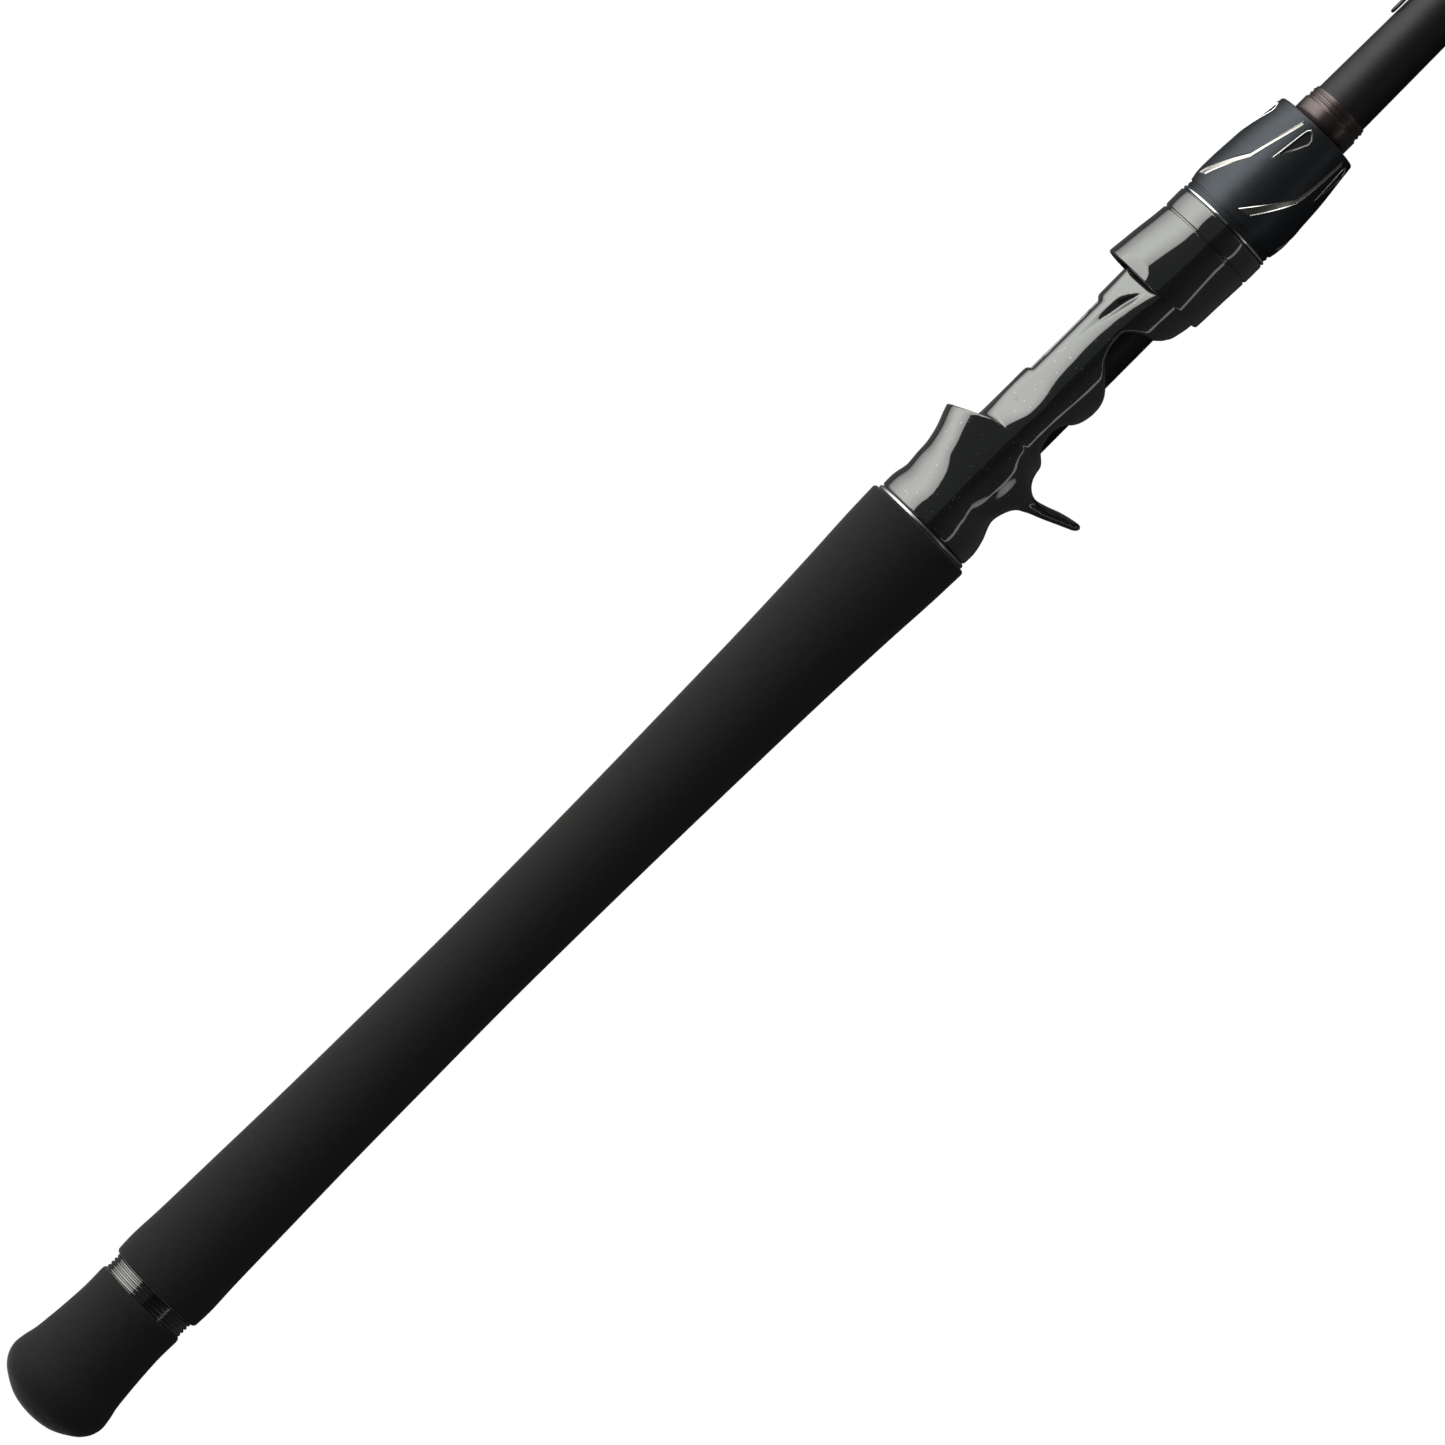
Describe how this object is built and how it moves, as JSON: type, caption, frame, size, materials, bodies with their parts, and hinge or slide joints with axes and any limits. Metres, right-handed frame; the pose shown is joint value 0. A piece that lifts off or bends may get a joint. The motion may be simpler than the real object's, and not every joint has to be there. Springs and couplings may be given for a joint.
{
  "type": "casting fishing rod",
  "caption": "Bait-casting fishing rod with foam grips, a trigger reel seat with a screw-down hood, a tapered blank, ringed line guides and a tip-top.",
  "frame": {"origin": "on the rod's axis at the middle of the reel seat's saddle, where the hand holds the rod", "axes": "+X along the rod from butt to tip; +Z towards the reel and the guides, with the trigger at -Z; +Y to the left of someone casting along +X"},
  "size_m": [2.1348, 0.03, 0.0525],
  "materials": {
    "foam": "matte closed-cell foam",
    "blank": "satin charcoal, over wound fibre",
    "seat": "high gloss with sparse fine metal flake",
    "seat_gloss": "high gloss",
    "nut": "satin blue-black",
    "arbor": "plain moulded",
    "trim_black": "gloss black",
    "trim_gun": "gunmetal",
    "trim_metal": "satin",
    "chrome": "polished",
    "hood_steel": "satin",
    "wire": "black plated",
    "guide_steel": "black plated steel",
    "ceramic": "polished ceramic",
    "thread": "thread under clear epoxy"
  },
  "bodies": {
    "rod": {"blank": "blank", "butt_grip": "foam", "butt_ring": "trim_black", "rear_grip": "foam", "grip_check": "trim_metal", "seat_body": "seat", "seat_arbor_rear": "arbor", "seat_arbor_front": "arbor", "fixed_hood_liner": "hood_steel", "front_check": "trim_gun", "keeper_foot": "wire", "keeper_wrap": "thread", "guide_1_frame": "guide_steel", "guide_1_ring": "ceramic", "guide_1_wraps": "thread", "guide_2_frame": "guide_steel", "guide_2_ring": "ceramic", "guide_2_wraps": "thread", "guide_3_frame": "guide_steel", "guide_3_ring": "ceramic", "guide_3_wraps": "thread", "guide_4_frame": "guide_steel", "guide_4_ring": "ceramic", "guide_4_wraps": "thread", "guide_5_frame": "guide_steel", "guide_5_ring": "ceramic", "guide_5_wraps": "thread", "guide_6_frame": "guide_steel", "guide_6_ring": "ceramic", "guide_6_wraps": "thread", "guide_7_frame": "guide_steel", "guide_7_ring": "ceramic", "guide_7_wraps": "thread", "guide_8_frame": "guide_steel", "guide_8_ring": "ceramic", "guide_8_wraps": "thread", "tip_top_frame": "guide_steel", "tip_top_ring": "ceramic"},
    "hood": {"sliding_hood": "seat_gloss", "hood_liner": "hood_steel", "hood_collar": "seat_gloss"},
    "nut": {"nut_ring": "chrome", "nut_shell": "nut", "nut_core": "arbor"},
    "hook_keeper": {"keeper_loop": "wire"}
  },
  "joints": [
    {"name": "hood_slide", "type": "slide", "parent": "rod", "child": "hood", "axis": [-1, 0, 0], "range_m": [0, 0.01251]},
    {"name": "nut_turn", "type": "hinge", "parent": "hood", "child": "nut", "pos_m": [0.066, 0, 0], "axis": [-1, 0, 0], "range_deg": [0, 1800]},
    {"name": "keeper_fold", "type": "hinge", "parent": "rod", "child": "hook_keeper", "pos_m": [0.125, 0, 0.00784], "axis": [0, 1, 0], "range_deg": [0, 110]}
  ],
  "couplings": [
    {"joint": "hood_slide", "follows": "nut_turn", "m_per_rad": 0.00039789}
  ]
}
